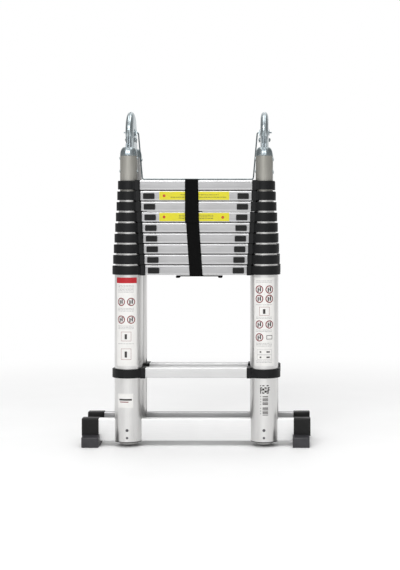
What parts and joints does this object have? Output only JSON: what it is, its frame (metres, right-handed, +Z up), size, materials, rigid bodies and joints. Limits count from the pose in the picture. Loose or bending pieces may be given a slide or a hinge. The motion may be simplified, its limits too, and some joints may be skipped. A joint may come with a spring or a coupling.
{
  "type": "telescoping ladder",
  "caption": "Double telescoping ladder, closed and folded: nested tube stiles, stacked rungs with release buttons, steel hinges, stabiliser bars and a strap.",
  "frame": {"origin": "middle of the footprint, on the floor under the feet", "axes": "+Z up along the stiles, X along the rungs, the front section is at -Y"},
  "size_m": [0.668, 0.2138, 0.9807],
  "materials": {
    "aluminium": "satin anodised",
    "rung": "satin, finely grooved, with black collars",
    "pale_aluminium": "pale satin",
    "steel": "zinc plated",
    "plastic": "fine moulded texture",
    "rubber": "matte",
    "webbing": "woven hook-and-loop webbing"
  },
  "bodies": {
    "front_base": {"front_base_tube_left": "aluminium", "front_base_tube_right": "aluminium", "front_foot_left": "rubber", "front_foot_right": "rubber", "front_lower_rung": "rung", "front_rung_1": "rung", "front_stabiliser_bar": "pale_aluminium", "strap": "webbing", "carry_handle": "webbing"},
    "front_stage_2": {"front_tube_2_left": "aluminium", "front_tube_2_right": "aluminium", "front_rung_2": "rung"},
    "front_stage_3": {"front_tube_3_left": "aluminium", "front_tube_3_right": "aluminium", "front_rung_3": "rung"},
    "front_stage_4": {"front_tube_4_left": "aluminium", "front_tube_4_right": "aluminium", "front_rung_4": "rung"},
    "front_stage_5": {"front_tube_5_left": "aluminium", "front_tube_5_right": "aluminium", "front_rung_5": "rung"},
    "front_stage_6": {"front_tube_6_left": "aluminium", "front_tube_6_right": "aluminium", "front_rung_6": "rung"},
    "front_stage_7": {"front_tube_7_left": "aluminium", "front_tube_7_right": "aluminium", "front_rung_7": "rung"},
    "front_stage_8": {"front_tube_8_left": "aluminium", "front_tube_8_right": "aluminium", "front_rung_8": "rung"},
    "front_stage_9": {"front_tube_9_left": "aluminium", "front_tube_9_right": "aluminium", "front_rung_9": "rung", "front_hinge_arm_left": "steel", "front_hinge_arm_right": "steel", "hinge_pivot_left": "steel", "hinge_pivot_right": "steel"},
    "release_bail": {"release_bail": "steel"},
    "rear_stage_9": {"rear_stage_9": "aluminium", "rear_hinge_arm_left": "steel", "rear_hinge_arm_right": "steel"},
    "rear_stage_8": {"rear_stage_8": "aluminium"},
    "rear_stage_7": {"rear_stage_7": "aluminium"},
    "rear_stage_6": {"rear_stage_6": "aluminium"},
    "rear_stage_5": {"rear_stage_5": "aluminium"},
    "rear_stage_4": {"rear_stage_4": "aluminium"},
    "rear_stage_3": {"rear_stage_3": "aluminium"},
    "rear_stage_2": {"rear_stage_2": "aluminium"},
    "rear_base": {"rear_base_tube_left": "aluminium", "rear_base_tube_right": "aluminium", "rear_foot_left": "rubber", "rear_foot_right": "rubber", "rear_lower_rung": "rung", "rear_rung_1": "rung", "rear_stabiliser_bar": "pale_aluminium"},
    "front_button_left": {"front_release_button_left": "plastic"},
    "front_button_right": {"front_release_button_right": "plastic"},
    "rear_button_left": {"rear_release_button_left": "plastic"},
    "rear_button_right": {"rear_release_button_right": "plastic"}
  },
  "joints": [
    {"name": "front_slide_2", "type": "slide", "parent": "front_base", "child": "front_stage_2", "axis": [0, 0, 1], "range_m": [0, 0.269], "deforming": ["strap"]},
    {"name": "front_slide_3", "type": "slide", "parent": "front_stage_2", "child": "front_stage_3", "axis": [0, 0, 1], "range_m": [0, 0.269], "deforming": ["strap"]},
    {"name": "front_slide_4", "type": "slide", "parent": "front_stage_3", "child": "front_stage_4", "axis": [0, 0, 1], "range_m": [0, 0.269], "deforming": ["strap"]},
    {"name": "front_slide_5", "type": "slide", "parent": "front_stage_4", "child": "front_stage_5", "axis": [0, 0, 1], "range_m": [0, 0.269], "deforming": ["strap"]},
    {"name": "front_slide_6", "type": "slide", "parent": "front_stage_5", "child": "front_stage_6", "axis": [0, 0, 1], "range_m": [0, 0.269], "deforming": ["strap"]},
    {"name": "front_slide_7", "type": "slide", "parent": "front_stage_6", "child": "front_stage_7", "axis": [0, 0, 1], "range_m": [0, 0.269], "deforming": ["strap"]},
    {"name": "front_slide_8", "type": "slide", "parent": "front_stage_7", "child": "front_stage_8", "axis": [0, 0, 1], "range_m": [0, 0.269], "deforming": ["strap"]},
    {"name": "front_slide_9", "type": "slide", "parent": "front_stage_8", "child": "front_stage_9", "axis": [0, 0, 1], "range_m": [0, 0.269], "deforming": ["strap"]},
    {"name": "hinge_fold", "type": "hinge", "parent": "front_stage_9", "child": "rear_stage_9", "pos_m": [0, 0, 0.92], "axis": [1, 0, 0], "range_deg": [0, 180], "deforming": ["strap"]},
    {"name": "bail_swing", "type": "hinge", "parent": "front_stage_9", "child": "release_bail", "pos_m": [0, 0, 0.92], "axis": [1, 0, 0], "range_deg": [-30, 30]},
    {"name": "rear_slide_8", "type": "slide", "parent": "rear_stage_9", "child": "rear_stage_8", "axis": [0, 0, -1], "range_m": [0, 0.269], "deforming": ["strap"]},
    {"name": "rear_slide_7", "type": "slide", "parent": "rear_stage_8", "child": "rear_stage_7", "axis": [0, 0, -1], "range_m": [0, 0.269], "deforming": ["strap"]},
    {"name": "rear_slide_6", "type": "slide", "parent": "rear_stage_7", "child": "rear_stage_6", "axis": [0, 0, -1], "range_m": [0, 0.269], "deforming": ["strap"]},
    {"name": "rear_slide_5", "type": "slide", "parent": "rear_stage_6", "child": "rear_stage_5", "axis": [0, 0, -1], "range_m": [0, 0.269], "deforming": ["strap"]},
    {"name": "rear_slide_4", "type": "slide", "parent": "rear_stage_5", "child": "rear_stage_4", "axis": [0, 0, -1], "range_m": [0, 0.269], "deforming": ["strap"]},
    {"name": "rear_slide_3", "type": "slide", "parent": "rear_stage_4", "child": "rear_stage_3", "axis": [0, 0, -1], "range_m": [0, 0.269], "deforming": ["strap"]},
    {"name": "rear_slide_2", "type": "slide", "parent": "rear_stage_3", "child": "rear_stage_2", "axis": [0, 0, -1], "range_m": [0, 0.269], "deforming": ["strap"]},
    {"name": "rear_slide_1", "type": "slide", "parent": "rear_stage_2", "child": "rear_base", "axis": [0, 0, -1], "range_m": [0, 0.269], "deforming": ["strap"]},
    {"name": "front_button_left_press", "type": "slide", "parent": "front_base", "child": "front_button_left", "axis": [1, 0, 0], "range_m": [0, 0.01], "stiffness_N_per_m": 300},
    {"name": "front_button_right_press", "type": "slide", "parent": "front_base", "child": "front_button_right", "axis": [-1, 0, 0], "range_m": [0, 0.01], "stiffness_N_per_m": 300},
    {"name": "rear_button_left_press", "type": "slide", "parent": "rear_base", "child": "rear_button_left", "axis": [1, 0, 0], "range_m": [0, 0.01], "stiffness_N_per_m": 300},
    {"name": "rear_button_right_press", "type": "slide", "parent": "rear_base", "child": "rear_button_right", "axis": [-1, 0, 0], "range_m": [0, 0.01], "stiffness_N_per_m": 300}
  ]
}
